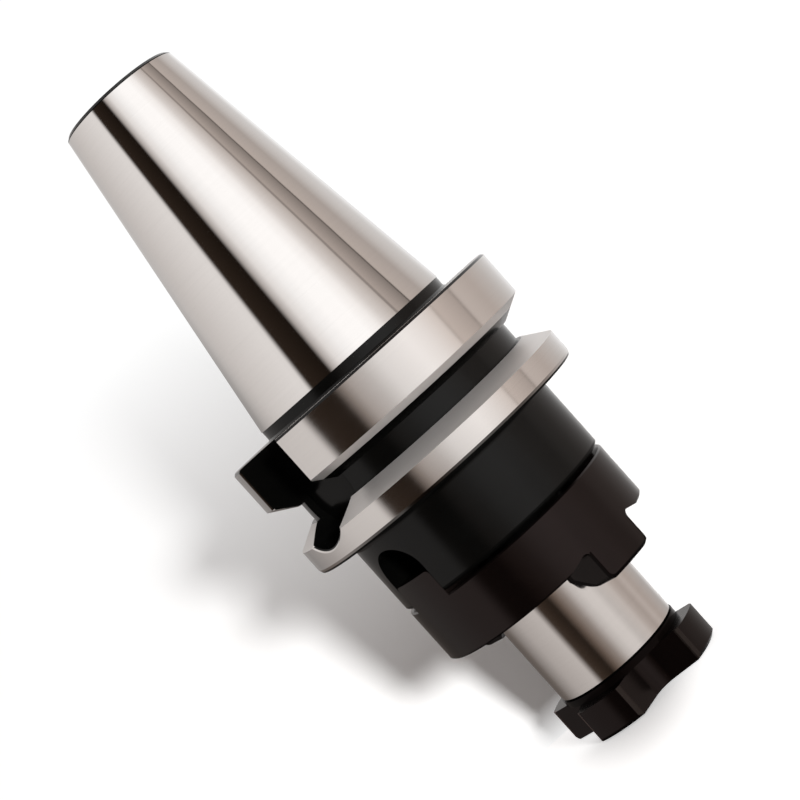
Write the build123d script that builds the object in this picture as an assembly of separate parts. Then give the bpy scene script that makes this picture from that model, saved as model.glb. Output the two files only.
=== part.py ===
from build123d import *
import math
import os

# Milling arbor, standing on the head of its cutter screw with the taper pointing up.
# Sizes are in millimetres. The axis is Z, height 0 is the face it stands on.
# Slots and tenons lie along X, driving lugs along Y.

# Clearances between moving and mating faces
RING_BORE_CLEARANCE = 0.03
SEAT_UNDERCUT = 0.05
LUG_BORE_CLEARANCE = 0.65
TENON_SIDE_CLEARANCE = 0.1
TENON_FLOOR_CLEARANCE = 0.5
THREAD_SPACE = 0.05
RING_GAP = 0.8

# Cutter screw, M12 with a four-lobed head
HEAD_RADIUS = 17.25
HEAD_HEIGHT = 8.5
HEAD_EDGE = 0.7
HEAD_BOSS_RADIUS = 13.7
HEAD_BOSS_HEIGHT = 1.4
LOBE_EDGE = 0.5
LOBES = 4
FIRST_VALLEY = 68.6
VALLEY_APEX = 10.2
VALLEY_HALF_ANGLE = 57.0
VALLEY_FILLET = 4.5
SCREW_MAJOR_RADIUS = 6.0
SCREW_CORE_RADIUS = 5.1
SCREW_RELIEF_RADIUS = 4.9
SCREW_RELIEF_LENGTH = 3.0
SCREW_LENGTH = 28.0
SCREW_TIP_CHAMFER = 1.0
CENTRE_MOUTH_RADIUS = 2.65
CENTRE_DRILL_RADIUS = 1.25
CENTRE_DRILL_DEPTH = 4.2
CENTRE_HALF_ANGLE = 30.0

# Pilot that carries the ring and the cutter
PILOT_RADIUS = 13.5
PILOT_LENGTH = 33.0
PILOT_EDGE = 0.4
SEAT_RUNOUT = 0.6
ROOT_RELIEF_RADIUS = 13.2
ROOT_RELIEF_LENGTH = 0.8
CUTTER_HOLE_DEPTH = 34.0
CUTTER_HOLE_EDGE = 0.8

# Collar
COLLAR_RADIUS = 24.0
COLLAR_LENGTH = 16.0
COLLAR_EDGE = 0.4
COLLAR_FILLET = 1.5

# Tenons of the ring, and the collar slots that take them
TENON_WIDTH = 12.0
TENON_HEIGHT = 5.9
TENON_CORNER = 1.0
TENON_SLOT_LENGTH = 12.5
TENON_SLOT_FLOOR = 13.9

# Driving ring
RING_THICKNESS = 11.7
RING_OUTER_EDGE = 0.3
RING_BORE_EDGE = 0.5
LUG_WIDTH = 12.0
LUG_HEIGHT = 5.9
LUG_TIP_CORNER = 1.4
LUG_RIM_EDGE = 0.7
LUG_BEVEL_RADIUS = 19.0
LUG_BEVEL_HEIGHT = 3.4
LUG_RELIEF_RADIUS = 1.2
LUG_RELIEF_REACH = 5.5

# Gripper flange
FLANGE_RADIUS = 31.5
FLANGE_LENGTH = 25.0
FLANGE_REAR_EDGE = 0.5
FLANGE_FRONT_EDGE = 0.4
GROOVE_FROM_REAR = 14.6
GROOVE_MOUTH = 10.0
GROOVE_DEPTH = 5.0
GROOVE_HALF_ANGLE = 30.0
GROOVE_RELIEF = 0.9
KEY_SLOT_WIDTH = 16.1
KEY_SLOT_LENGTH = 21.6
KEY_SLOT_FLOOR = 22.6
KEY_SLOT_EDGE = 0.5

# Steep taper, 7 on 24 across the diameter
GAUGE_RADIUS = 22.225
GAUGE_TO_FLANGE = 2.0
TAPER_LENGTH = 65.4
RADIUS_DROP = 7.0 / 48.0
TAPER_RUNOUT = 0.3
TAPER_EDGE = 0.5
NECK_RADIUS = 22.05
NECK_CORNER = 0.4

# Drawbar hole in the small end, M16
DRAWBAR_PILOT_RADIUS = 8.5
DRAWBAR_PILOT_DEPTH = 5.0
DRAWBAR_MOUTH = 0.8
DRAWBAR_THREAD_RADIUS = 8.0
DRAWBAR_THREAD_DEPTH = 30.0
DRAWBAR_DRILL_RADIUS = 7.0
DRAWBAR_DRILL_DEPTH = 43.0
DRILL_POINT_HALF_ANGLE = 59.0

# Heights that follow from the lengths above
PILOT_END = HEAD_HEIGHT
LOBE_TOP = PILOT_END - HEAD_BOSS_HEIGHT
COLLAR_FACE = PILOT_END + PILOT_LENGTH
FLANGE_FRONT = COLLAR_FACE + COLLAR_LENGTH
FLANGE_REAR = FLANGE_FRONT + FLANGE_LENGTH
GAUGE_PLANE = FLANGE_REAR + GAUGE_TO_FLANGE
SMALL_END = GAUGE_PLANE + TAPER_LENGTH
RING_REAR = COLLAR_FACE - RING_GAP
RING_FRONT = RING_REAR - RING_THICKNESS
LUG_TIP = RING_FRONT - LUG_HEIGHT
TENON_TIP = RING_REAR + TENON_HEIGHT

# Distance that a cutting shape runs past the face it starts from
PAST = 2.0


def turned(outline):
    """Solid of revolution from (radius, height) corners."""
    return revolve(Plane.XZ * make_face(Polyline(*outline, close=True)), Axis.Z)


def rims(shape, radius, height):
    """Circular edges about the axis with this radius at this height."""
    return [
        edge
        for edge in shape.edges().filter_by(GeomType.CIRCLE)
        if abs(edge.radius - radius) < 0.01 and abs(edge.arc_center.Z - height) < 0.01
    ]


def taper_radius(height):
    """Radius of the ground cone at a height."""
    return GAUGE_RADIUS - RADIUS_DROP * (height - GAUGE_PLANE)


def drill_point(radius):
    """Length of the cone left by a drill of this radius."""
    return radius / math.tan(math.radians(DRILL_POINT_HALF_ANGLE))


def slot_cutter(width, floor, end, mouth):
    """Shape milled inwards along +X: straight from the mouth, half-round at the end height."""
    way = math.copysign(1.0, mouth - end)
    centre = end + way * width / 2
    middle = (centre + mouth + way * PAST) / 2
    straight = Pos(0, middle) * Rectangle(width, abs(mouth - centre) + PAST)
    plan = straight + Pos(0, centre) * Circle(width / 2)
    return extrude(Plane.YZ.offset(floor) * plan, FLANGE_RADIUS)


def both_sides(shape):
    """The shape and its copy half a turn on."""
    return [shape, Rot(0, 0, 180) * shape]


def body_blank():
    """Taper, neck, flange, collar and pilot turned in one piece."""
    runout = GAUGE_PLANE + TAPER_RUNOUT
    seat = PILOT_RADIUS - SEAT_UNDERCUT
    return turned(
        [
            (0, PILOT_END),
            (PILOT_RADIUS, PILOT_END),
            (PILOT_RADIUS, RING_FRONT),
            (seat, RING_FRONT + SEAT_RUNOUT),
            (seat, COLLAR_FACE - ROOT_RELIEF_LENGTH),
            (ROOT_RELIEF_RADIUS, COLLAR_FACE - ROOT_RELIEF_LENGTH),
            (ROOT_RELIEF_RADIUS, COLLAR_FACE),
            (COLLAR_RADIUS, COLLAR_FACE),
            (COLLAR_RADIUS, FLANGE_FRONT),
            (FLANGE_RADIUS, FLANGE_FRONT),
            (FLANGE_RADIUS, FLANGE_REAR),
            (NECK_RADIUS, FLANGE_REAR),
            (NECK_RADIUS, runout),
            (taper_radius(runout), runout),
            (taper_radius(SMALL_END), SMALL_END),
            (0, SMALL_END),
        ]
    )


def gripper_groove():
    """Sixty-degree groove round the flange with a plain relief at its bottom."""
    middle = FLANGE_REAR - GROOVE_FROM_REAR
    slope = math.tan(math.radians(GROOVE_HALF_ANGLE))
    root = FLANGE_RADIUS - GROOVE_DEPTH
    half_root = GROOVE_MOUTH / 2 - GROOVE_DEPTH * slope
    half_outer = GROOVE_MOUTH / 2 + PAST * slope
    return turned(
        [
            (FLANGE_RADIUS + PAST, middle - half_outer),
            (FLANGE_RADIUS + PAST, middle + half_outer),
            (root, middle + half_root),
            (root - GROOVE_RELIEF, middle + half_root),
            (root - GROOVE_RELIEF, middle - half_root),
            (root, middle - half_root),
        ]
    )


def drawbar_hole():
    """Counterbore, thread and drilled bottom in the small end."""
    thread_end = SMALL_END - DRAWBAR_THREAD_DEPTH
    drill_end = SMALL_END - DRAWBAR_DRILL_DEPTH
    mouth = DRAWBAR_PILOT_RADIUS + DRAWBAR_MOUTH
    return turned(
        [
            (0, SMALL_END + PAST),
            (mouth + PAST, SMALL_END + PAST),
            (DRAWBAR_PILOT_RADIUS, SMALL_END - DRAWBAR_MOUTH),
            (DRAWBAR_PILOT_RADIUS, SMALL_END - DRAWBAR_PILOT_DEPTH),
            (DRAWBAR_THREAD_RADIUS, SMALL_END - DRAWBAR_PILOT_DEPTH),
            (DRAWBAR_THREAD_RADIUS, thread_end),
            (DRAWBAR_DRILL_RADIUS, thread_end),
            (DRAWBAR_DRILL_RADIUS, drill_end),
            (0, drill_end - drill_point(DRAWBAR_DRILL_RADIUS)),
        ]
    )


def cutter_hole():
    """Hole for the cutter screw, with the room that its thread takes."""
    radius = SCREW_MAJOR_RADIUS + THREAD_SPACE
    bottom = PILOT_END + CUTTER_HOLE_DEPTH
    mouth = radius + CUTTER_HOLE_EDGE
    return turned(
        [
            (0, PILOT_END - PAST),
            (mouth + PAST, PILOT_END - PAST),
            (radius, PILOT_END + CUTTER_HOLE_EDGE),
            (radius, bottom),
            (0, bottom + drill_point(radius)),
        ]
    )


def key_slot_rims(shape):
    """Edges where the key slots cut the outside of the flange."""
    return [
        edge
        for edge in shape.edges()
        if abs(edge.position_at(0.5).Y) < KEY_SLOT_WIDTH / 2 + 0.01
        and abs(math.hypot(edge.position_at(0.5).X, edge.position_at(0.5).Y) - FLANGE_RADIUS) < 0.01
        and abs(math.hypot(edge.position_at(0).X, edge.position_at(0).Y) - FLANGE_RADIUS) < 0.01
    ]


def arbor_body():
    """The one-piece arbor."""
    body = body_blank()
    body = fillet(rims(body, COLLAR_RADIUS, FLANGE_FRONT), COLLAR_FILLET)
    body = chamfer(rims(body, NECK_RADIUS, FLANGE_REAR), NECK_CORNER)
    body = chamfer(rims(body, COLLAR_RADIUS, COLLAR_FACE), COLLAR_EDGE)
    body = chamfer(rims(body, FLANGE_RADIUS, FLANGE_REAR), FLANGE_REAR_EDGE)
    body = chamfer(rims(body, FLANGE_RADIUS, FLANGE_FRONT), FLANGE_FRONT_EDGE)
    body = chamfer(rims(body, PILOT_RADIUS, PILOT_END), PILOT_EDGE)
    body = chamfer(rims(body, taper_radius(SMALL_END), SMALL_END), TAPER_EDGE)
    key_slot = slot_cutter(
        KEY_SLOT_WIDTH, KEY_SLOT_FLOOR, FLANGE_REAR - KEY_SLOT_LENGTH, FLANGE_REAR
    )
    body -= both_sides(key_slot)
    body = chamfer(key_slot_rims(body), KEY_SLOT_EDGE)
    body -= gripper_groove()
    slot_width = TENON_WIDTH + 2 * TENON_SIDE_CLEARANCE
    tenon_slot = slot_cutter(
        slot_width, TENON_SLOT_FLOOR, COLLAR_FACE + TENON_SLOT_LENGTH, COLLAR_FACE
    )
    body -= both_sides(tenon_slot)
    body -= drawbar_hole()
    body -= cutter_hole()
    return body


def ring_blank(bottom, top, clearance):
    """Plain turned ring between two heights, this far clear of the pilot."""
    bore = PILOT_RADIUS + clearance
    return turned([(bore, bottom), (COLLAR_RADIUS, bottom), (COLLAR_RADIUS, top), (bore, top)])


def tooth_profile(width, foot, tip, corner):
    """Outline of a lug or tenon seen along its way, with its two tip corners rounded."""
    block = Pos(0, (foot + tip) / 2) * Rectangle(width, abs(tip - foot))
    corners = [vertex for vertex in block.vertices() if abs(vertex.Y - tip) < 0.01]
    return fillet(corners, corner)


def lug_reliefs():
    """Hollows along both sides of the lugs: quarter-round at the lug, running out in a ramp."""
    side = LUG_WIDTH / 2
    deepest = (side + LUG_RELIEF_RADIUS, RING_FRONT + LUG_RELIEF_RADIUS)
    runout = (side + LUG_RELIEF_REACH, RING_FRONT)
    below = RING_FRONT - PAST
    round_part = RadiusArc((side, RING_FRONT), deepest, LUG_RELIEF_RADIUS)
    rest = Polyline(deepest, runout, (runout[0], below), (side, below), (side, RING_FRONT))
    profile = make_face(round_part + rest)
    profile += mirror(profile, Plane.YZ)
    return extrude(Plane.XZ * profile, COLLAR_RADIUS + PAST, both=True)


def driving_lugs():
    """Two lugs that drive the cutter, bevelled inside where its bore goes on."""
    foot = RING_FRONT + RING_OUTER_EDGE
    profile = tooth_profile(LUG_WIDTH, foot, LUG_TIP, LUG_TIP_CORNER)
    bar = extrude(Plane.XZ * profile, COLLAR_RADIUS + PAST, both=True)
    bore = PILOT_RADIUS + LUG_BORE_CLEARANCE
    blank = turned(
        [
            (bore, foot),
            (bore, LUG_TIP + LUG_BEVEL_HEIGHT),
            (LUG_BEVEL_RADIUS, LUG_TIP),
            (COLLAR_RADIUS - LUG_RIM_EDGE, LUG_TIP),
            (COLLAR_RADIUS, LUG_TIP + LUG_RIM_EDGE),
            (COLLAR_RADIUS, foot),
        ]
    )
    return bar & blank


def tenons():
    """Two tenons that sit in the collar slots."""
    foot = RING_REAR - RING_OUTER_EDGE
    profile = tooth_profile(TENON_WIDTH, foot, TENON_TIP, TENON_CORNER)
    floor = TENON_SLOT_FLOOR + TENON_FLOOR_CLEARANCE
    bar = extrude(Plane.YZ.offset(floor) * profile, COLLAR_RADIUS)
    return both_sides(bar & ring_blank(foot, TENON_TIP, RING_BORE_CLEARANCE))


def driving_ring():
    """Ring that hands the drive from the collar slots to the cutter."""
    ring = ring_blank(RING_FRONT, RING_REAR, RING_BORE_CLEARANCE)
    bore = PILOT_RADIUS + RING_BORE_CLEARANCE
    outer = rims(ring, COLLAR_RADIUS, RING_REAR) + rims(ring, COLLAR_RADIUS, RING_FRONT)
    ring = chamfer(rims(ring, bore, RING_REAR), RING_BORE_EDGE)
    ring = chamfer(outer, RING_OUTER_EDGE)
    ring -= lug_reliefs()
    ring += driving_lugs()
    ring += tenons()
    return ring


def head_valley():
    """Rounded wrench valley between two lobes, open towards +X."""
    slope = math.tan(math.radians(VALLEY_HALF_ANGLE))
    reach = HEAD_RADIUS + PAST - VALLEY_APEX
    wedge = make_face(
        Polyline(
            (VALLEY_APEX, 0),
            (VALLEY_APEX + reach, reach * slope),
            (VALLEY_APEX + reach, -reach * slope),
            close=True,
        )
    )
    apex = wedge.vertices().sort_by(Axis.X)[0]
    return extrude(fillet(apex, VALLEY_FILLET), LOBE_TOP)


def lobe_edges(shape):
    """Upright edges at the outside of the lobes."""
    return [
        edge
        for edge in shape.edges().filter_by(Axis.Z)
        if abs(math.hypot(edge.center().X, edge.center().Y) - HEAD_RADIUS) < 0.01
        and edge.length > LOBE_TOP / 2
    ]


def centre_hole():
    """Lathe centre in the front of the head."""
    cone_depth = (CENTRE_MOUTH_RADIUS - CENTRE_DRILL_RADIUS) / math.tan(
        math.radians(CENTRE_HALF_ANGLE)
    )
    return turned(
        [
            (0, 0),
            (CENTRE_MOUTH_RADIUS, 0),
            (CENTRE_DRILL_RADIUS, cone_depth),
            (CENTRE_DRILL_RADIUS, CENTRE_DRILL_DEPTH),
            (0, CENTRE_DRILL_DEPTH + drill_point(CENTRE_DRILL_RADIUS)),
        ]
    )


def retaining_screw():
    """Cutter screw with its four-lobed head."""
    tip = PILOT_END + SCREW_LENGTH
    screw = turned(
        [
            (0, 0),
            (HEAD_RADIUS - HEAD_EDGE, 0),
            (HEAD_RADIUS, HEAD_EDGE),
            (HEAD_RADIUS, LOBE_TOP),
            (HEAD_BOSS_RADIUS, LOBE_TOP),
            (HEAD_BOSS_RADIUS, PILOT_END),
            (SCREW_RELIEF_RADIUS, PILOT_END),
            (SCREW_RELIEF_RADIUS, PILOT_END + SCREW_RELIEF_LENGTH),
            (SCREW_CORE_RADIUS, PILOT_END + SCREW_RELIEF_LENGTH),
            (SCREW_CORE_RADIUS, tip - SCREW_TIP_CHAMFER),
            (SCREW_CORE_RADIUS - SCREW_TIP_CHAMFER, tip),
            (0, tip),
        ]
    )
    for number in range(LOBES):
        screw -= Rot(0, 0, FIRST_VALLEY + number * 360.0 / LOBES) * head_valley()
    screw = chamfer(lobe_edges(screw), LOBE_EDGE)
    return screw - centre_hole()


os.makedirs("parts", exist_ok=True)
export_step(arbor_body(), "parts/arbor_body.step")
export_step(driving_ring(), "parts/driving_ring.step")
export_step(retaining_screw(), "parts/retaining_screw.step")
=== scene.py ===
import math

import bpy
import numpy as np
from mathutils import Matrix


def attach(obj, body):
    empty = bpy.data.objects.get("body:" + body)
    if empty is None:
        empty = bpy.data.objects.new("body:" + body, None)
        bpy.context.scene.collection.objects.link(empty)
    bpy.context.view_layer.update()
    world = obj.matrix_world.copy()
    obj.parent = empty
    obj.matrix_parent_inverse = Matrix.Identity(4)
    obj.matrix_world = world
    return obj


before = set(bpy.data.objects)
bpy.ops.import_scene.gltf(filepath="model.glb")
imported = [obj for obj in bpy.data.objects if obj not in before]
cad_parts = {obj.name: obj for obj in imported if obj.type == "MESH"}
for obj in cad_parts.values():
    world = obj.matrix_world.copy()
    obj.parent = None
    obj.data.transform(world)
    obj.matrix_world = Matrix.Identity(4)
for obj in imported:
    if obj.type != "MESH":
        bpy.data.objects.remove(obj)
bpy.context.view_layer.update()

# Camera at the photograph's viewpoint. It lies on its side, because the arbor stands on
# the head of its screw here and lies on a bench in the photograph.
FILM_WIDTH = 36.0
FOCAL_LENGTH = 91.66
CAMERA_TURN = (0.5638639, 0.6919618, 0.0401012, -0.4490415)
CAMERA_PLACE = (-0.221105, -0.315771, 0.08711)

lens = bpy.data.cameras.new("camera")
lens.sensor_width = FILM_WIDTH
lens.lens = FOCAL_LENGTH
lens.clip_start = 0.01
lens.clip_end = 20.0
camera = bpy.data.objects.new("camera", lens)
camera.rotation_mode = "QUATERNION"
camera.rotation_quaternion = CAMERA_TURN
camera.location = CAMERA_PLACE
bpy.context.scene.collection.objects.link(camera)
bpy.context.scene.camera = camera
camera_azimuth = math.atan2(camera.location.y, camera.location.x)

# Arbor body: one piece of case-hardened steel, turned and milled, then blackened. The
# taper, the flange's outside and groove, and the pilot are ground bright afterwards.
GAUGE_RADIUS = 0.022225
GAUGE_HEIGHT = 0.0845
CONE_DROP = 7.0 / 48.0
CONE_TOP = 0.1492
FLANGE_RADIUS = 0.0315
FLANGE_BOTTOM = 0.0579
FLANGE_TOP = 0.0820
REAR_FACE = 0.0825
REAR_FACE_GROUND = (0.0226, 0.0311)
GROOVE_MIDDLE = 0.0679
GROOVE_HALF_ROOT = 0.0021
GROOVE_HALF_MOUTH = 0.0050
GROOVE_ROOT = 0.0265
KEY_SLOT_HALF = 0.00806
KEY_SLOT_CENTRE = 0.06895
PILOT_SKIN = (0.01343, 0.01370)
PILOT_BOTTOM = 0.0089
PILOT_TOP = 0.0407
COLLAR_RADIUS = 0.0240
COLLAR_FACE = 0.0419
COLLAR_EDGE = 0.0004
REAR_FLANK_BRIGHT_FROM = 0.0290
CONE_SLACK = 0.0003
RIM_SLACK = 0.00025
FLANK_SLACK = 0.00005
FACE_SLACK = 0.00003
EDGE_SLACK = 0.0001
SLOT_REACH = 1.03
BRIGHT_STEEL = (0.80, 0.77, 0.75)
DRAWN_OUT = 0.6
GRIND_LINES = 11000.0
GRIND_HEIGHT = 0.15
STREAK_LINES = 1200.0
GROUND_TONE = (0.94, 1.02)
STREAK_TONE = (-0.01, 0.03)
GROUND_ROUGHNESS = (0.09, 0.14)
STREAK_ROUGHNESS = (-0.02, 0.02)
CONE_ROUGHNESS = (0.04, 0.07)
FLANK_ROUGHNESS = (0.36, 0.50)
FLANK_DULLING = 0.16
BODY_BLACK = (0.0013, 0.0013, 0.0012)
CLOUDS = 160.0
MARK_LINES = 9000.0
CLOUD_TONE = (0.35, 1.15)
MARK_TONE = (-0.15, 0.65)
CLOUD_ROUGHNESS = (0.14, 0.22)
MARK_ROUGHNESS = (-0.03, 0.03)
BLACK_SHINE = 0.24
MILLED_SHINE = 0.12
# Specular level of the edge bands that are made nearly unreflective as painted shade.
PAINTED_SHADE_SHINE = 0.05
MARK_DEPTH = 0.000001


def start_material(name):
    """A new node material with one principled shader; returns it, its tree and the shader."""
    material = bpy.data.materials.new(name)
    material.use_nodes = True
    tree = material.node_tree
    tree.nodes.clear()
    shader = tree.nodes.new("ShaderNodeBsdfPrincipled")
    output = tree.nodes.new("ShaderNodeOutputMaterial")
    tree.links.new(shader.outputs["BSDF"], output.inputs["Surface"])
    return material, tree, shader


def calc(tree, operation, *values):
    """One math node; each value is a number or the output of another node."""
    node = tree.nodes.new("ShaderNodeMath")
    node.operation = operation
    for socket, value in zip(node.inputs, values):
        if isinstance(value, (int, float)):
            socket.default_value = value
        else:
            tree.links.new(value, socket)
    return node.outputs[0]


def both(tree, *values):
    """Product of masks: 1 where all of them are 1."""
    result = values[0]
    for value in values[1:]:
        result = calc(tree, "MULTIPLY", result, value)
    return result


def either(tree, *values):
    """Largest of masks: 1 where any of them is 1."""
    result = values[0]
    for value in values[1:]:
        result = calc(tree, "MAXIMUM", result, value)
    return result


def squares(tree, first, second):
    """Sum of the squares of two values."""
    return calc(
        tree, "ADD", calc(tree, "MULTIPLY", first, first), calc(tree, "MULTIPLY", second, second)
    )


def between(tree, value, low, high):
    """1 where the value lies between two numbers, else 0."""
    above = calc(tree, "GREATER_THAN", value, low)
    below = calc(tree, "LESS_THAN", value, high)
    return calc(tree, "MULTIPLY", above, below)


def turned_coordinates(tree):
    """Object coordinates of a turned piece: x, y, height, radius and angle about the axis."""
    place = tree.nodes.new("ShaderNodeTexCoord").outputs["Object"]
    split = tree.nodes.new("ShaderNodeSeparateXYZ")
    tree.links.new(place, split.inputs[0])
    x, y, z = split.outputs
    radius = calc(tree, "SQRT", squares(tree, x, y))
    angle = calc(tree, "ARCTAN2", y, x)
    return place, x, y, z, radius, angle


def grain(tree, vector, scale, detail, roughness):
    """Noise between 0 and 1 on a vector, this many blotches to the unit."""
    node = tree.nodes.new("ShaderNodeTexNoise")
    node.inputs["Scale"].default_value = scale
    node.inputs["Detail"].default_value = detail
    node.inputs["Roughness"].default_value = roughness
    tree.links.new(vector, node.inputs["Vector"])
    return node.outputs["Fac"]


def tool_lines(tree, radius, height, angle, per_metre):
    """Noise drawn out round the axis: rings of turning or grinding on faces and sides alike."""
    join = tree.nodes.new("ShaderNodeCombineXYZ")
    tree.links.new(calc(tree, "MULTIPLY", radius, per_metre), join.inputs[0])
    tree.links.new(calc(tree, "MULTIPLY", height, per_metre), join.inputs[1])
    tree.links.new(calc(tree, "MULTIPLY", angle, DRAWN_OUT), join.inputs[2])
    return grain(tree, join.outputs[0], scale=1.0, detail=3.0, roughness=0.6)


def spread(tree, value, low, high):
    """A value of 0 to 1 stretched to run from low to high."""
    node = tree.nodes.new("ShaderNodeMapRange")
    node.inputs["To Min"].default_value = low
    node.inputs["To Max"].default_value = high
    tree.links.new(value, node.inputs["Value"])
    return node.outputs["Result"]


def shade(tree, colour, factor):
    """A fixed colour darkened or lightened by a factor that varies over the surface."""
    node = tree.nodes.new("ShaderNodeVectorMath")
    node.operation = "SCALE"
    node.inputs[0].default_value = colour
    tree.links.new(factor, node.inputs["Scale"])
    return node.outputs[0]


def mix(tree, mask, first, second, kind="RGBA"):
    """The first where the mask is 0 and the second where it is 1; numbers, colours or outputs."""
    node = tree.nodes.new("ShaderNodeMix")
    node.data_type = kind
    ends = {"RGBA": (6, 7, 2), "FLOAT": (2, 3, 0)}[kind]
    for socket, value in ((0, mask), (ends[0], first), (ends[1], second)):
        if isinstance(value, (int, float, tuple)):
            node.inputs[socket].default_value = value
        else:
            tree.links.new(value, node.inputs[socket])
    return node.outputs[ends[2]]


def relief(tree, height, depth):
    """Bump from a height of 0 to 1 that stands for this many metres."""
    node = tree.nodes.new("ShaderNodeBump")
    node.inputs["Strength"].default_value = 1.0
    node.inputs["Distance"].default_value = depth
    tree.links.new(height, node.inputs["Height"])
    return node.outputs["Normal"]


def blackened(tree, place, radius, z, angle, colour):
    """Black oxide: faint clouds, turning marks and a satin sheen; colour, roughness, height."""
    clouds = grain(tree, place, CLOUDS, detail=4.0, roughness=0.65)
    marks = tool_lines(tree, radius, z, angle, MARK_LINES)
    tone = calc(tree, "ADD", spread(tree, clouds, *CLOUD_TONE), spread(tree, marks, *MARK_TONE))
    rough = calc(
        tree, "ADD", spread(tree, clouds, *CLOUD_ROUGHNESS), spread(tree, marks, *MARK_ROUGHNESS)
    )
    return shade(tree, colour, tone), rough, marks


def use_material(node, material):
    """Puts the material into every slot of a node's object."""
    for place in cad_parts[node].material_slots:
        place.material = material


body_finish, tree, shader = start_material("ground_and_blackened_steel")
place, x, y, z, radius, angle = turned_coordinates(tree)
apex = GAUGE_RADIUS - CONE_SLACK + CONE_DROP * GAUGE_HEIGHT
cone = calc(tree, "SUBTRACT", apex, calc(tree, "MULTIPLY", z, CONE_DROP))
outside = calc(tree, "GREATER_THAN", radius, cone)
on_cone = both(tree, between(tree, z, GAUGE_HEIGHT + CONE_SLACK, CONE_TOP), outside)
rim = calc(tree, "GREATER_THAN", radius, FLANGE_RADIUS - RIM_SLACK)
on_flange = both(tree, between(tree, z, FLANGE_BOTTOM, FLANGE_TOP), rim)
pilot_side = between(tree, radius, *PILOT_SKIN)
on_pilot = both(tree, between(tree, z, PILOT_BOTTOM, PILOT_TOP), pilot_side)
rear_level = between(tree, z, REAR_FACE - FACE_SLACK, REAR_FACE + FACE_SLACK)
on_rear = both(tree, rear_level, between(tree, radius, *REAR_FACE_GROUND))
above_middle = calc(tree, "SUBTRACT", z, GROOVE_MIDDLE)
rear_half = calc(tree, "GREATER_THAN", above_middle, 0.0)
# The groove's rear flank is bright only above this radius and black below it.
flank_root = mix(tree, rear_half, GROOVE_ROOT, REAR_FLANK_BRIGHT_FROM, "FLOAT")
below_slot = calc(tree, "MINIMUM", calc(tree, "SUBTRACT", z, KEY_SLOT_CENTRE), 0.0)
slot_squares = squares(tree, y, below_slot)
from_middle = calc(tree, "ABSOLUTE", above_middle)
on_flank = both(
    tree,
    between(tree, from_middle, GROOVE_HALF_ROOT + FLANK_SLACK, GROOVE_HALF_MOUTH),
    calc(tree, "GREATER_THAN", radius, flank_root),
    calc(tree, "LESS_THAN", radius, FLANGE_RADIUS),
    calc(tree, "GREATER_THAN", slot_squares, KEY_SLOT_HALF * KEY_SLOT_HALF),
)
ground = either(tree, on_cone, on_flange, on_pilot, on_rear, on_flank)
grind = tool_lines(tree, radius, z, angle, GRIND_LINES)
streaks = tool_lines(tree, radius, z, angle, STREAK_LINES)
bright_tone = calc(
    tree, "ADD", spread(tree, grind, *GROUND_TONE), spread(tree, streaks, *STREAK_TONE)
)
bright_rough = calc(
    tree, "ADD", spread(tree, grind, *GROUND_ROUGHNESS), spread(tree, streaks, *STREAK_ROUGHNESS)
)
bright_rough = mix(tree, on_cone, bright_rough, spread(tree, grind, *CONE_ROUGHNESS), "FLOAT")
bright_rough = mix(tree, on_flank, bright_rough, spread(tree, grind, *FLANK_ROUGHNESS), "FLOAT")
dark_colour, dark_rough, marks = blackened(tree, place, radius, z, angle, BODY_BLACK)
bright_colour = shade(tree, BRIGHT_STEEL, bright_tone)
tree.links.new(mix(tree, ground, dark_colour, bright_colour), shader.inputs["Base Color"])
tree.links.new(mix(tree, ground, dark_rough, bright_rough, "FLOAT"), shader.inputs["Roughness"])
metal = calc(tree, "SUBTRACT", ground, calc(tree, "MULTIPLY", on_flank, FLANK_DULLING))
tree.links.new(metal, shader.inputs["Metallic"])
in_slot = both(
    tree,
    calc(tree, "LESS_THAN", slot_squares, SLOT_REACH * KEY_SLOT_HALF * KEY_SLOT_HALF),
    between(tree, z, FLANGE_BOTTOM, REAR_FACE - FACE_SLACK),
)
# Painted shade: the chamfer at the collar's front edge is made nearly unreflective, so it shows as
# a dark line at the gap to the ring.
collar_edge = both(
    tree,
    between(tree, z, COLLAR_FACE - EDGE_SLACK, COLLAR_FACE + COLLAR_EDGE),
    calc(tree, "GREATER_THAN", radius, COLLAR_RADIUS - COLLAR_EDGE - EDGE_SLACK),
)
shine = mix(tree, in_slot, BLACK_SHINE, MILLED_SHINE, "FLOAT")
shine = mix(tree, collar_edge, shine, PAINTED_SHADE_SHINE, "FLOAT")
tree.links.new(shine, shader.inputs["Specular IOR Level"])
height = mix(tree, ground, marks, calc(tree, "MULTIPLY", grind, GRIND_HEIGHT), "FLOAT")
tree.links.new(relief(tree, height, MARK_DEPTH), shader.inputs["Normal"])
use_material("arbor_body", body_finish)

# Threads inside the arbor body: M16 for the pull stud at the small end and M12 for the
# cutter screw in the pilot. Each is a ridge cut with the body, so it rides with the body.
DRAWBAR_MAJOR = 0.0080
DRAWBAR_MINOR = 0.00692
DRAWBAR_PITCH = 0.0020
DRAWBAR_SPAN = (0.1205, 0.1444)
SCREW_HOLE_MAJOR = 0.00605
SCREW_HOLE_MINOR = 0.00520
SCREW_PITCH = 0.00175
SCREW_HOLE_SPAN = (0.0100, 0.0420)
STEPS_A_TURN = 48
THREAD_BLACK = (0.012, 0.011, 0.010)
BURRS = 900.0
BURR_DEPTH = 0.000004


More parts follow.
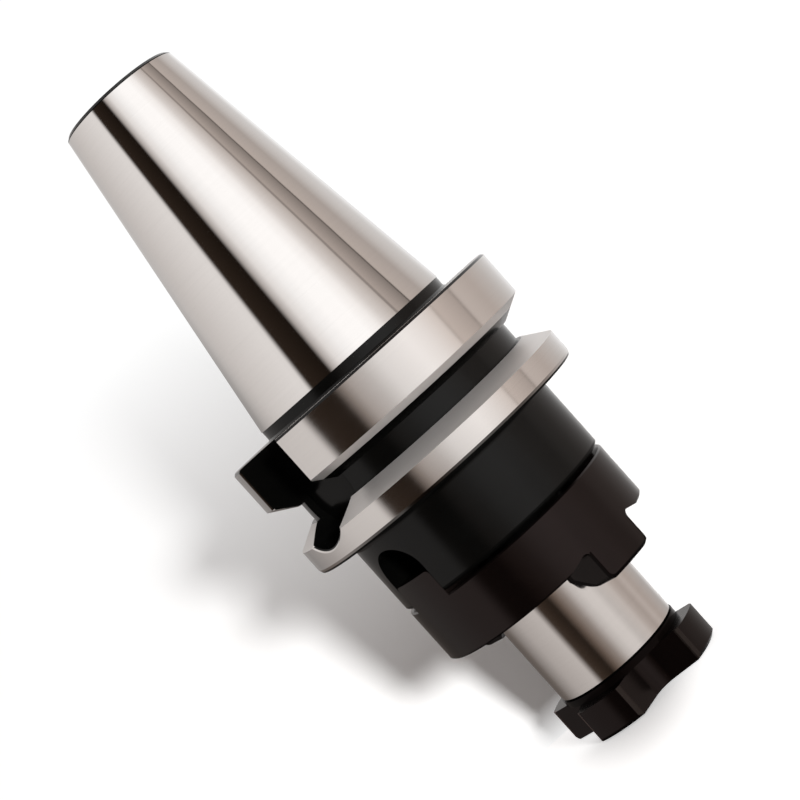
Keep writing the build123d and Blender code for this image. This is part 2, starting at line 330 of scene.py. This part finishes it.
def thread_ridge(name, root, crest, pitch, span, start):
    """Helical ridge of a 60 degree thread. A four-cornered outline, wide at the root radius and
    an eighth of the pitch wide at the crest, is carried along a right-hand helix; over the first
    and last half turn its height and width grow from nothing, where the tool runs in and out."""
    turns = (span[1] - span[0]) / pitch
    count = int(turns * STEPS_A_TURN) + 1
    along = np.linspace(0.0, turns, count)
    grow = np.clip(np.minimum(along, turns - along) / 0.5, 0.02, 1.0)
    flank = abs(crest - root) * math.tan(math.radians(30.0))
    side = np.array([-1.0, -1.0, 1.0, 1.0])
    half = side * (pitch / 16.0 + flank * np.array([1.0, 0.0, 0.0, 1.0]))
    depth = np.array([0.0, 1.0, 1.0, 0.0])
    if crest < root:
        half, depth = half[::-1], depth[::-1]
    radius = root + (crest - root) * grow[:, None] * depth[None, :]
    height = span[0] + along[:, None] * pitch + half[None, :] * grow[:, None]
    turn = start + along[:, None] * 2.0 * math.pi
    points = np.stack([radius * np.cos(turn), radius * np.sin(turn), height], axis=2)
    first = np.arange(count - 1)[:, None] * 4
    here = np.arange(4)[None, :]
    after = (here + 1) % 4
    faces = np.stack([first + here, first + 4 + here, first + 4 + after, first + after], axis=2)
    last = (count - 1) * 4
    ends = [[0, 1, 2, 3], [last + 3, last + 2, last + 1, last]]
    mesh = bpy.data.meshes.new(name)
    mesh.from_pydata(points.reshape(-1, 3).tolist(), [], faces.reshape(-1, 4).tolist() + ends)
    piece = bpy.data.objects.new(name, mesh)
    bpy.context.scene.collection.objects.link(piece)
    return piece


thread_finish, tree, shader = start_material("cut_thread_steel")
place, x, y, z, radius, angle = turned_coordinates(tree)
burrs = grain(tree, place, BURRS, detail=3.0, roughness=0.6)
colour, rough, marks = blackened(tree, place, radius, z, angle, THREAD_BLACK)
tree.links.new(colour, shader.inputs["Base Color"])
tree.links.new(rough, shader.inputs["Roughness"])
tree.links.new(relief(tree, burrs, BURR_DEPTH), shader.inputs["Normal"])
shader.inputs["Specular IOR Level"].default_value = BLACK_SHINE
for name, root, crest, pitch, span in (
    ("drawbar_thread", DRAWBAR_MAJOR, DRAWBAR_MINOR, DRAWBAR_PITCH, DRAWBAR_SPAN),
    ("cutter_hole_thread", SCREW_HOLE_MAJOR, SCREW_HOLE_MINOR, SCREW_PITCH, SCREW_HOLE_SPAN),
):
    ridge = thread_ridge(name, root, crest, pitch, span, 0.0)
    ridge.data.materials.append(thread_finish)
    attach(ridge, "arbor")

# Driving ring: a separate steel ring, milled and blackened all over, that slides on the
# pilot. Its tenons sit in the collar's slots and its lugs enter the cutter's cross slot.
RING_BLACK = (0.0014, 0.0009, 0.0008)
RING_SHINE = 0.33
# Specular level of the lug sides, lowered below the ring's as painted shade on that side.
LUG_SIDE_SHADE_SHINE = 0.19
BROWN_SHEEN = (1.0, 0.79, 0.77, 1.0)
RING_RADIUS = 0.0240
RING_FRONT = 0.0294
RING_REAR = 0.0411
RING_BORE_EDGE = 0.0153
LUG_HALF = 0.0060
LUG_CORNER = 0.0014
LUG_TIP = 0.0235
BEVEL_RADIUS = 0.0190
BEVEL_SLOPE = 3.4 / 4.85
EDGE_WIDTH = 0.0003
LUG_RIM = (0.0007, 0.0004)
HOLLOW_RIM = (0.0234, 0.02396)
HOLLOW_RISE = 0.0013
BEVEL_EDGE = 0.0006
REAR_EDGE = (0.0004, 0.00035)
FRONT_SLACK = 0.00005

ring_finish, tree, shader = start_material("blackened_ring_steel")
place, x, y, z, radius, angle = turned_coordinates(tree)
colour, rough, marks = blackened(tree, place, radius, z, angle, RING_BLACK)
tree.links.new(colour, shader.inputs["Base Color"])
tree.links.new(rough, shader.inputs["Roughness"])
tree.links.new(relief(tree, marks, MARK_DEPTH), shader.inputs["Normal"])
# Painted shade: the lug corners, the hollow's rim, the lug sides near the bevel and bore, and the
# rear outer edge are made nearly unreflective, so they show as dark lines; the lug sides are made
# duller than the ring's face, painted shade on that side.
aside = calc(tree, "ABSOLUTE", x)
past_side = calc(tree, "MAXIMUM", calc(tree, "SUBTRACT", aside, LUG_HALF - LUG_CORNER), 0.0)
past_tip = calc(tree, "MAXIMUM", calc(tree, "SUBTRACT", LUG_TIP + LUG_CORNER, z), 0.0)
corner = calc(tree, "SQRT", squares(tree, past_side, past_tip))
lug_edge = both(
    tree,
    calc(tree, "LESS_THAN", LUG_CORNER - EDGE_WIDTH, corner),
    between(tree, aside, 0.0, LUG_HALF + EDGE_SLACK),
    calc(tree, "GREATER_THAN", radius, RING_RADIUS - LUG_RIM[0]),
    calc(tree, "LESS_THAN", z, RING_FRONT + LUG_RIM[1]),
)
hollow_edge = both(
    tree,
    calc(tree, "LESS_THAN", z, RING_FRONT + HOLLOW_RISE),
    between(tree, radius, *HOLLOW_RIM),
)
over_bevel = calc(
    tree, "ADD", calc(tree, "SUBTRACT", z, LUG_TIP), calc(tree, "MULTIPLY", radius, BEVEL_SLOPE)
)
near_bevel = calc(tree, "LESS_THAN", over_bevel, BEVEL_SLOPE * BEVEL_RADIUS + BEVEL_EDGE)
near_bore = calc(tree, "LESS_THAN", radius, RING_BORE_EDGE)
on_side = both(
    tree,
    calc(tree, "GREATER_THAN", aside, LUG_HALF - EDGE_SLACK),
    calc(tree, "LESS_THAN", z, RING_FRONT - FRONT_SLACK),
)
inner_edge = both(tree, on_side, either(tree, near_bevel, near_bore))
rear_edge = both(
    tree,
    between(tree, z, RING_REAR - REAR_EDGE[1], RING_REAR + EDGE_SLACK),
    calc(tree, "GREATER_THAN", radius, RING_RADIUS - REAR_EDGE[0]),
    calc(tree, "GREATER_THAN", calc(tree, "ABSOLUTE", y), LUG_HALF),
)
edge = either(tree, lug_edge, hollow_edge, inner_edge, rear_edge)
shine = mix(tree, on_side, RING_SHINE, LUG_SIDE_SHADE_SHINE, "FLOAT")
shine = mix(tree, edge, shine, PAINTED_SHADE_SHINE, "FLOAT")
tree.links.new(shine, shader.inputs["Specular IOR Level"])
shader.inputs["Specular Tint"].default_value = BROWN_SHEEN
use_material("driving_ring", ring_finish)

# Cutter screw: M12 with a large four-lobed head that clamps the cutter. It is turned, its
# wrench valleys are milled, and it is blackened; the thread is a rolled ridge on its core.
SCREW_BLACK = (0.0014, 0.0009, 0.0008)
WORN_EDGE = (0.030, 0.024, 0.021)
WORN_TONE = (0.8, 1.2)
WORN_SHARE = (0.3, 1.0)
WORN_DEPTH = 0.0007
# Specular level of the boss under the lobes, lowered as painted shade.
BOSS_SHADE_SHINE = 0.06
BOSS_RADIUS = 0.0137
BOSS_SLACK = (0.0003, 0.0002)
LOBE_TOP = 0.0071
HEAD_RADIUS = 0.01725
FIRST_VALLEY = 68.6
VALLEY_AT_RIM = (25.6, 28.8)
SCREW_CORE = 0.00508
SCREW_MAJOR = 0.00600
SCREW_SPAN = (0.0125, 0.0354)

screw_finish, tree, shader = start_material("blackened_screw_steel")
place, x, y, z, radius, angle = turned_coordinates(tree)
colour, rough, marks = blackened(tree, place, radius, z, angle, SCREW_BLACK)
quarter = calc(
    tree, "ADD", calc(tree, "MULTIPLY", angle, 2.0 / math.pi), 4.5 - FIRST_VALLEY / 90.0
)
from_valley = calc(tree, "ABSOLUTE", calc(tree, "SUBTRACT", calc(tree, "FRACT", quarter), 0.5))
worn = both(
    tree,
    between(tree, from_valley, VALLEY_AT_RIM[0] / 90.0, VALLEY_AT_RIM[1] / 90.0),
    between(tree, z, 0.0, LOBE_TOP + EDGE_SLACK),
    calc(tree, "GREATER_THAN", radius, HEAD_RADIUS - WORN_DEPTH),
)
rubbed = grain(tree, place, BURRS, detail=3.0, roughness=0.6)
wear = both(tree, worn, spread(tree, rubbed, *WORN_SHARE))
worn_colour = shade(tree, WORN_EDGE, spread(tree, marks, *WORN_TONE))
tree.links.new(mix(tree, wear, colour, worn_colour), shader.inputs["Base Color"])
tree.links.new(rough, shader.inputs["Roughness"])
tree.links.new(wear, shader.inputs["Metallic"])
tree.links.new(relief(tree, marks, MARK_DEPTH), shader.inputs["Normal"])
# Painted shade: the boss between the pilot and the lobes is made nearly unreflective, so it reads
# black.
on_boss = both(
    tree,
    calc(tree, "GREATER_THAN", z, LOBE_TOP - BOSS_SLACK[1]),
    calc(tree, "LESS_THAN", radius, BOSS_RADIUS + BOSS_SLACK[0]),
)
shine = mix(tree, on_boss, BLACK_SHINE, BOSS_SHADE_SHINE, "FLOAT")
tree.links.new(shine, shader.inputs["Specular IOR Level"])
shader.inputs["Specular Tint"].default_value = BROWN_SHEEN
use_material("retaining_screw", screw_finish)
phase = 2.0 * math.pi * ((SCREW_SPAN[0] - SCREW_HOLE_SPAN[0]) / SCREW_PITCH + 0.5)
ridge = thread_ridge("screw_thread", SCREW_CORE, SCREW_MAJOR, SCREW_PITCH, SCREW_SPAN, phase)
ridge.data.materials.append(screw_finish)
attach(ridge, "screw")

# Studio: a pale floor with a painted soft shadow under the head, a leaning board that takes
# the lamp's shadow and fades it to white with painted light, and a small lamp on the right.
# Reflections see a tent of cards instead, in three rows: the lowest for pilot and ring, then
# flange and collar, then taper.
WHITE = (1.0, 1.0, 1.0, 1.0)
FLOOR_COLOUR = (0.90, 0.90, 0.895)
FLOOR_HALF = 4.0
FLOOR_DROP = 0.0002
FLOOR_GLOW = 0.66
# Size, place and depth of the painted shadow on the floor in front of the head.
PAINTED_SHADOW_DEPTH = 0.36
PAINTED_SHADOW_LENGTH = 0.052
PAINTED_SHADOW_HALF_WIDTH = 0.0175
PAINTED_SHADOW_SHIFT = 0.0045
PAINTED_SHADOW_CORE = 0.3
PAINTED_SHADOW_START = 0.25
BOARD_FOOT = 0.0176
BOARD_LEAN = 1.06
BOARD_HALF = 3.0
BOARD_RISE = 4.0
BOARD_GLOW = 1.03
# Where the board's own glow, painted light, takes over from its matt surface: with height, at the
# foot and far to the side.
FADE_FROM = 0.020
FADE_OVER = 0.105
FADE_POWER = 1.25
FOOT_FADE = 0.75
FOOT_FADE_TOP = 0.006
SIDE_FADE_FROM = 0.22
SIDE_FADE_OVER = 0.20
AMBIENT = (0.350, 0.322, 0.311, 1.0)
KEY_TURN = math.radians(16.8)
KEY_LIFT = math.radians(5.0)
KEY_HEIGHT = 0.06
KEY_DISTANCE = 1.1
KEY_SIZE = 0.16
KEY_POWER = 16.5
TENT_RADIUS = 2.0
LOW_START = (-0.20, -0.08)
HIGH_START = (0.10, 0.45)
TENT_FLOOR = (-1.3, -0.5, 0.15)
WARM_GREEN = 0.17
WARM_BLUE = 0.27
# A card's degrees about the axis from the camera's side, its brightness and its warmth.
HIGH_CARDS = (
    (-180, 0.64, 0.20), (-150, 0.58, 0.20), (-120, 0.675, 0.25), (-60, 0.88, 0.15),
    (-54, 0.86, 0.15), (-49, 0.028, 1.90), (-25, 0.012, 1.90), (-20.5, 0.50, 0.40),
    (-12, 0.92, 0.15), (0, 1.12, 0.0), (12, 1.24, 0.0), (28, 1.25, 0.0), (40, 1.12, 0.1),
    (50, 0.82, 0.30), (64, 0.58, 0.60), (65.3, 0.05, 1.0), (66.6, 0.50, 0.75),
    (84.7, 0.27, 0.75), (86, 0.03, 1.0), (87.3, 0.57, 0.70), (108, 0.48, 0.60),
    (120, 0.63, 0.30), (130, 0.70, 0.20), (144, 0.75, 0.10), (165, 1.00, 0.0),
)
LOW_CARDS = (
    (-180, 0.36, 0.30), (-150, 0.28, 0.30), (-120, 0.42, 0.35), (-84, 0.66, 0.25),
    (-55, 0.73, 0.25), (-49, 0.03, 1.90), (-24, 0.018, 1.90), (-18.5, 0.24, 0.90),
    (-12, 0.45, 0.55), (0, 0.60, 0.30), (12, 0.87, 0.15), (36, 1.08, 0.15), (48, 0.98, 0.25),
    (64, 0.78, 0.60), (65, 0.20, 1.0), (66, 0.64, 0.75), (85, 0.47, 0.75), (86, 0.15, 1.0),
    (87, 0.62, 0.65), (108, 0.53, 0.70), (130, 0.60, 0.35), (144, 0.69, 0.15), (165, 0.90, 0.0),
)
FOOT_CARDS = (
    (-180, 0.15, 0.60), (-150, 0.13, 0.90), (-136, 0.17, 0.80), (-120, 0.30, 0.50),
    (-96, 0.48, 0.40), (-56, 0.60, 0.35), (-46, 0.05, 1.90), (-24, 0.020, 1.90),
    (-18, 0.09, 1.60), (-12, 0.17, 1.40), (0, 0.32, 0.80), (12, 0.60, 0.35), (24, 0.74, 0.30),
    (36, 0.76, 0.30), (48, 0.62, 0.35), (64, 0.64, 0.50), (72, 0.53, 0.65), (84, 0.45, 0.75),
    (96, 0.56, 0.65), (108, 0.48, 0.75), (120, 0.49, 0.60), (144, 0.50, 0.30),
    (165, 0.80, 0.10),
)


def seen_by(tree, *rays):
    """1 for rays of the named kinds, from the light path."""
    path = tree.nodes.new("ShaderNodeLightPath")
    return either(tree, *[path.outputs[ray] for ray in rays])


def climb(tree, height, start, end, least=0.0):
    """A smooth rise from the least value to 1 while the height goes from start to end."""
    node = tree.nodes.new("ShaderNodeMapRange")
    node.interpolation_type = "SMOOTHSTEP"
    node.inputs["From Min"].default_value = start
    node.inputs["From Max"].default_value = end
    node.inputs["To Min"].default_value = least
    tree.links.new(height, node.inputs["Value"])
    return node.outputs["Result"]


def along(tree, x, y, direction):
    """How far a point lies from the axis along a level direction."""
    parts = [calc(tree, "MULTIPLY", value, float(part)) for value, part in zip((x, y), direction)]
    return calc(tree, "ADD", *parts)


def flat_sheet(name, corners):
    """One flat face through four corners, in order."""
    mesh = bpy.data.meshes.new(name)
    mesh.from_pydata(corners, [], [list(range(len(corners)))])
    sheet = bpy.data.objects.new(name, mesh)
    bpy.context.scene.collection.objects.link(sheet)
    return sheet


def paper(name):
    """Matt pale surface, clear from behind. Returns the material, its tree, its matt shader, its
    own light, a mask of the rays that see that light, and the mixer whose first shader is the
    front."""
    material = bpy.data.materials.new(name)
    material.use_nodes = True
    tree = material.node_tree
    tree.nodes.clear()
    matt = tree.nodes.new("ShaderNodeBsdfDiffuse")
    matt.inputs["Color"].default_value = (*FLOOR_COLOUR, 1.0)
    own = tree.nodes.new("ShaderNodeEmission")
    seen = seen_by(tree, "Is Camera Ray", "Is Glossy Ray", "Is Transmission Ray")
    front = tree.nodes.new("ShaderNodeMixShader")
    clear = tree.nodes.new("ShaderNodeBsdfTransparent")
    tree.links.new(tree.nodes.new("ShaderNodeNewGeometry").outputs["Backfacing"], front.inputs[0])
    tree.links.new(clear.outputs[0], front.inputs[2])
    output = tree.nodes.new("ShaderNodeOutputMaterial")
    tree.links.new(front.outputs[0], output.inputs["Surface"])
    return material, tree, matt, own, seen, front


behind = camera_azimuth + math.pi
toward = np.array([math.cos(behind), math.sin(behind), 0.0])
across = np.array([-math.sin(behind), math.cos(behind), 0.0])

floor_paper, tree, matt, own, seen, front = paper("floor_paper")
place, x, y, z, radius, angle = turned_coordinates(tree)
# Painted shadow: the floor's own glow is lowered in a soft patch in front of the head, so it reads
# as a contact shadow.
ahead = calc(tree, "DIVIDE", along(tree, x, y, -toward), PAINTED_SHADOW_LENGTH)
sideways = calc(tree, "SUBTRACT", along(tree, x, y, across), PAINTED_SHADOW_SHIFT)
sideways = calc(tree, "DIVIDE", sideways, PAINTED_SHADOW_HALF_WIDTH)
reach = calc(tree, "SQRT", squares(tree, ahead, sideways))
painted_shadow = calc(tree, "SUBTRACT", 1.0, climb(tree, reach, PAINTED_SHADOW_CORE, 1.0))
painted_shadow = both(tree, climb(tree, ahead, 0.0, PAINTED_SHADOW_START), painted_shadow, PAINTED_SHADOW_DEPTH)
tree.links.new(both(tree, seen, calc(tree, "SUBTRACT", FLOOR_GLOW, painted_shadow)), own.inputs["Strength"])
total = tree.nodes.new("ShaderNodeAddShader")
tree.links.new(matt.outputs[0], total.inputs[0])
tree.links.new(own.outputs[0], total.inputs[1])
tree.links.new(total.outputs[0], front.inputs[1])

board_paper, tree, matt, own, seen, front = paper("board_paper")
own.inputs["Strength"].default_value = BOARD_GLOW
place, x, y, z, radius, angle = turned_coordinates(tree)
# Painted light: the board's own glow takes over with height, near its foot and far to the side, so
# the lamp's cast shadow on it fades out upward and at the foot.
aside = calc(tree, "DIVIDE", calc(tree, "SUBTRACT", radius, SIDE_FADE_FROM), SIDE_FADE_OVER)
rise = calc(tree, "MAXIMUM", calc(tree, "SUBTRACT", z, FADE_FROM), 0.0)
fade = calc(tree, "POWER", calc(tree, "DIVIDE", rise, FADE_OVER), FADE_POWER)
low = calc(tree, "SUBTRACT", 1.0, calc(tree, "DIVIDE", z, FOOT_FADE_TOP))
low = calc(tree, "MULTIPLY", calc(tree, "MAXIMUM", low, 0.0), FOOT_FADE)
fade = calc(tree, "MINIMUM", either(tree, fade, low, aside), 1.0)
total = tree.nodes.new("ShaderNodeMixShader")
tree.links.new(calc(tree, "MULTIPLY", fade, seen), total.inputs[0])
tree.links.new(matt.outputs[0], total.inputs[1])
tree.links.new(own.outputs[0], total.inputs[2])
tree.links.new(total.outputs[0], front.inputs[1])

square = ((-1, -1), (1, -1), (1, 1), (-1, 1))
floor = flat_sheet("floor", [(x * FLOOR_HALF, y * FLOOR_HALF, -FLOOR_DROP) for x, y in square])
floor.data.materials.append(floor_paper)
floor.visible_glossy = False

foot = toward * BOARD_FOOT
lean = toward * BOARD_LEAN + np.array([0.0, 0.0, 1.0])
edges = ((-BOARD_HALF, 0.0), (-BOARD_HALF, BOARD_RISE), (BOARD_HALF, BOARD_RISE), (BOARD_HALF, 0.0))
board = flat_sheet("board", [tuple(foot + across * side + lean * rise) for side, rise in edges])
board.data.materials.append(board_paper)
board.visible_glossy = False
board.visible_diffuse = False
board.visible_shadow = False
board.visible_transmission = False

world = bpy.data.worlds.new("studio_air")
world.use_nodes = True
tree = world.node_tree
tree.nodes.clear()
air = tree.nodes.new("ShaderNodeBackground")
seen = seen_by(tree, "Is Camera Ray", "Is Glossy Ray", "Is Transmission Ray")
tree.links.new(mix(tree, seen, AMBIENT, WHITE), air.inputs["Color"])
output = tree.nodes.new("ShaderNodeOutputWorld")
tree.links.new(air.outputs[0], output.inputs["Surface"])
bpy.context.scene.world = world

lamp = bpy.data.lights.new("key_lamp", "AREA")
lamp.shape = "DISK"
lamp.size = KEY_SIZE
lamp.energy = KEY_POWER
key = bpy.data.objects.new("key_lamp", lamp)
key_azimuth = camera_azimuth + KEY_TURN
level = math.cos(KEY_LIFT)
aim = np.array([math.cos(key_azimuth) * level, math.sin(key_azimuth) * level, math.sin(KEY_LIFT)])
key.location = tuple(np.array([0.0, 0.0, KEY_HEIGHT]) + aim * KEY_DISTANCE)
key.rotation_euler = (math.pi / 2 - KEY_LIFT, 0.0, key_azimuth + math.pi / 2)
key.visible_glossy = False
bpy.context.scene.collection.objects.link(key)

bpy.ops.mesh.primitive_uv_sphere_add(segments=96, ring_count=48, radius=TENT_RADIUS)
tent = bpy.context.object
tent.name = "card_tent"
tent_finish = bpy.data.materials.new("white_and_dark_cards")
tent_finish.use_nodes = True
tree = tent_finish.node_tree
tree.nodes.clear()
place, x, y, z, radius, angle = turned_coordinates(tree)
turn = calc(tree, "SUBTRACT", angle, camera_azimuth)
share = calc(tree, "FRACT", calc(tree, "ADD", calc(tree, "MULTIPLY", turn, 0.5 / math.pi), 1.5))
rows = []
for cards in (FOOT_CARDS, LOW_CARDS, HIGH_CARDS):
    ramp = tree.nodes.new("ShaderNodeValToRGB")
    tree.links.new(share, ramp.inputs["Fac"])
    stops = ramp.color_ramp.elements
    stops[1].position = 1.0
    for degrees, level, warmth in cards:
        stop = stops[0] if degrees == -180 else stops.new(degrees / 360.0 + 0.5)
        green = level * (1.0 - WARM_GREEN * warmth)
        blue = level * (1.0 - WARM_BLUE * warmth)
        stop.color = (level, green, blue, 1.0)
    stops[-1].color = stops[0].color
    rows.append(ramp.outputs["Color"])
low_rows = mix(tree, climb(tree, z, *LOW_START), rows[0], rows[1])
all_rows = mix(tree, climb(tree, z, *HIGH_START), low_rows, rows[2])
glow = tree.nodes.new("ShaderNodeEmission")
tree.links.new(all_rows, glow.inputs["Color"])
tree.links.new(climb(tree, z, *TENT_FLOOR), glow.inputs["Strength"])
output = tree.nodes.new("ShaderNodeOutputMaterial")
tree.links.new(glow.outputs[0], output.inputs["Surface"])
tent.data.materials.append(tent_finish)
tent.visible_camera = False
tent.visible_diffuse = False
tent.visible_transmission = False
tent.visible_shadow = False

bpy.context.scene.view_settings.view_transform = "Standard"
